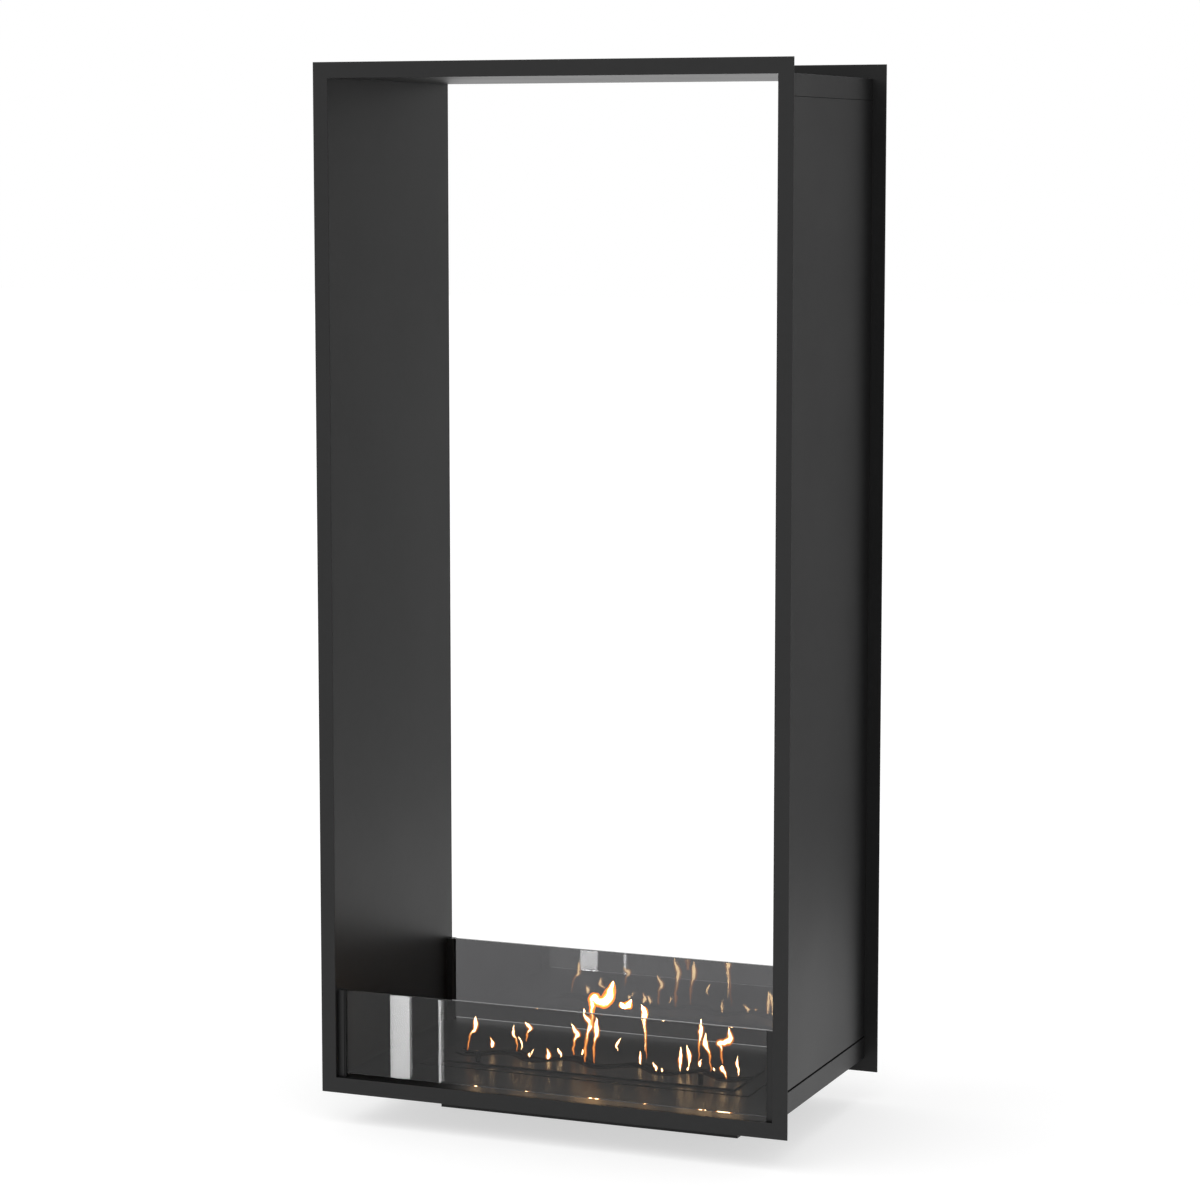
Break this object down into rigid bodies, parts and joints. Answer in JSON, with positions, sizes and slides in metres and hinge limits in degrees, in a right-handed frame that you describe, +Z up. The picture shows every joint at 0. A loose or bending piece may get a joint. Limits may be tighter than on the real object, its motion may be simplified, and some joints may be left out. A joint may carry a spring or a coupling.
{
  "type": "double-sided fireplace",
  "caption": "Tall see-through black steel fireplace casing with flange frames on both faces, low smoked glass panes and a lift-out ethanol burner with a sliding wavy shutter.",
  "frame": {"origin": "under the middle of the burner housing, on the face the fireplace stands on", "axes": "+Z up, +X to the right seen from the pictured front, +Y through the wall from front to rear"},
  "size_m": [0.7, 0.4, 1.495],
  "materials": {
    "black_steel": "satin black powder coat",
    "black_seal": "matt black extrusion",
    "smoked_glass": "polished smoked toughened glass",
    "stainless_steel": "brushed",
    "ceramic_wool": "pressed fibre"
  },
  "bodies": {
    "casing": {"front_trim_frame": "black_steel", "rear_trim_frame": "black_steel", "left_liner": "black_steel", "right_liner": "black_steel", "ceiling_liner": "black_steel", "floor_liner": "black_steel", "left_outer_panel": "black_steel", "right_outer_panel": "black_steel", "top_cap": "black_steel", "base_tray": "black_steel", "front_left_glass_channel": "black_steel", "front_right_glass_channel": "black_steel", "rear_left_glass_channel": "black_steel", "rear_right_glass_channel": "black_steel", "front_glass_seals": "black_seal", "rear_glass_seals": "black_seal", "glass_rest_pads": "black_seal", "burner_housing": "black_steel", "housing_screws": "stainless_steel"},
    "burner": {"burner_surround": "black_steel", "fuel_tank": "stainless_steel", "ceramic_fuel_block": "ceramic_wool", "burner_mesh": "stainless_steel", "rear_cover_plate": "black_steel", "cover_screws": "stainless_steel"},
    "shutter": {"shutter_plate": "black_steel", "handle_posts": "black_steel", "post_screws": "stainless_steel", "guide_screws": "stainless_steel"},
    "front_glass": {"front_glass": "smoked_glass"},
    "rear_glass": {"rear_glass": "smoked_glass"}
  },
  "joints": [
    {"name": "burner_lift", "type": "slide", "parent": "casing", "child": "burner", "axis": [0, 0, 1], "range_m": [0, 0.1]},
    {"name": "shutter_slide", "type": "slide", "parent": "burner", "child": "shutter", "axis": [0, 1, 0], "range_m": [0, 0.0175]},
    {"name": "front_glass_lift", "type": "slide", "parent": "casing", "child": "front_glass", "axis": [0, 0, 1], "range_m": [0, 0.125]},
    {"name": "rear_glass_lift", "type": "slide", "parent": "casing", "child": "rear_glass", "axis": [0, 0, 1], "range_m": [0, 0.125]}
  ]
}
